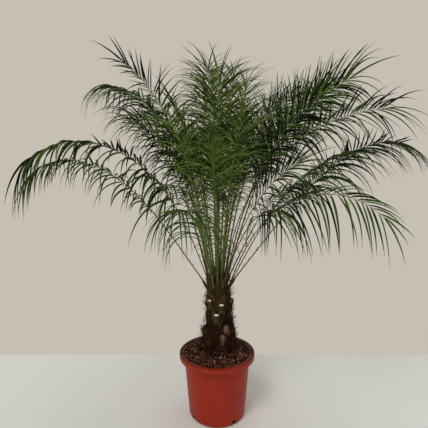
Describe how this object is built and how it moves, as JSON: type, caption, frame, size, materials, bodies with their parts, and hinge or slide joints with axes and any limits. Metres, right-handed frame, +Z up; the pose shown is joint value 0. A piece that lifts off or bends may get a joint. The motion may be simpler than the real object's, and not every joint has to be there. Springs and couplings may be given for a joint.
{
  "type": "potted pygmy date palm",
  "caption": "Young pygmy date palm with arching feathery fronds on a short fibrous trunk, in a round nursery pot filled with soil.",
  "frame": {"origin": "centre of the pot's flat underside, where it stands", "axes": "+Z up along the pot's axis, -Y to the front that the picture shows, +X to the picture's right"},
  "size_m": [1.3336, 0.9524, 1.2374],
  "materials": {
    "pot_plastic": "red-brown moulded plastic, satin",
    "soil": "dark crumbly potting soil",
    "trunk_fibre": "dark brown fibre over old leaf bases",
    "leaf_base": "grey-brown leaf base with a cream cut face",
    "frond_green": "leathery green leaflets, slightly glossy"
  },
  "bodies": {
    "root": {"frond_01": "frond_green", "frond_01_tip": "frond_green", "frond_03": "frond_green", "frond_03_tip": "frond_green", "frond_06": "frond_green", "frond_06_tip": "frond_green", "frond_09": "frond_green", "frond_10": "frond_green", "frond_11": "frond_green", "frond_11_tip": "frond_green", "frond_12": "frond_green", "frond_13": "frond_green", "frond_14": "frond_green", "frond_14_tip": "frond_green", "frond_16": "frond_green", "frond_18": "frond_green", "frond_19": "frond_green", "frond_19_tip": "frond_green", "frond_23": "frond_green", "frond_24": "frond_green", "frond_25": "frond_green", "frond_28": "frond_green", "frond_29": "frond_green", "frond_31": "frond_green", "frond_33": "frond_green", "frond_34": "frond_green", "frond_36": "frond_green", "frond_back_top": "frond_green", "frond_front_left": "frond_green", "frond_front_left_low": "frond_green", "frond_front_mid": "frond_green", "frond_front_right_low": "frond_green", "frond_left_arch": "frond_green", "frond_left_arch_tip": "frond_green", "frond_left_high": "frond_green", "frond_left_high_tip": "frond_green", "frond_left_low": "frond_green", "frond_left_low_tip": "frond_green", "frond_left_upright": "frond_green", "frond_right_arch": "frond_green", "frond_right_arch_tip": "frond_green", "frond_right_high": "frond_green", "frond_right_low": "frond_green", "frond_right_low_tip": "frond_green", "frond_right_mid": "frond_green", "frond_right_mid_tip": "frond_green", "frond_top_left": "frond_green", "frond_top_right": "frond_green", "leaf_base_1": "leaf_base", "leaf_base_2": "leaf_base", "leaf_base_3": "leaf_base", "leaf_base_4": "leaf_base", "leaf_base_5": "leaf_base", "leaf_base_6": "leaf_base", "leaf_base_7": "leaf_base", "pot": "pot_plastic", "soil": "soil", "trunk": "trunk_fibre"}
  },
  "joints": []
}
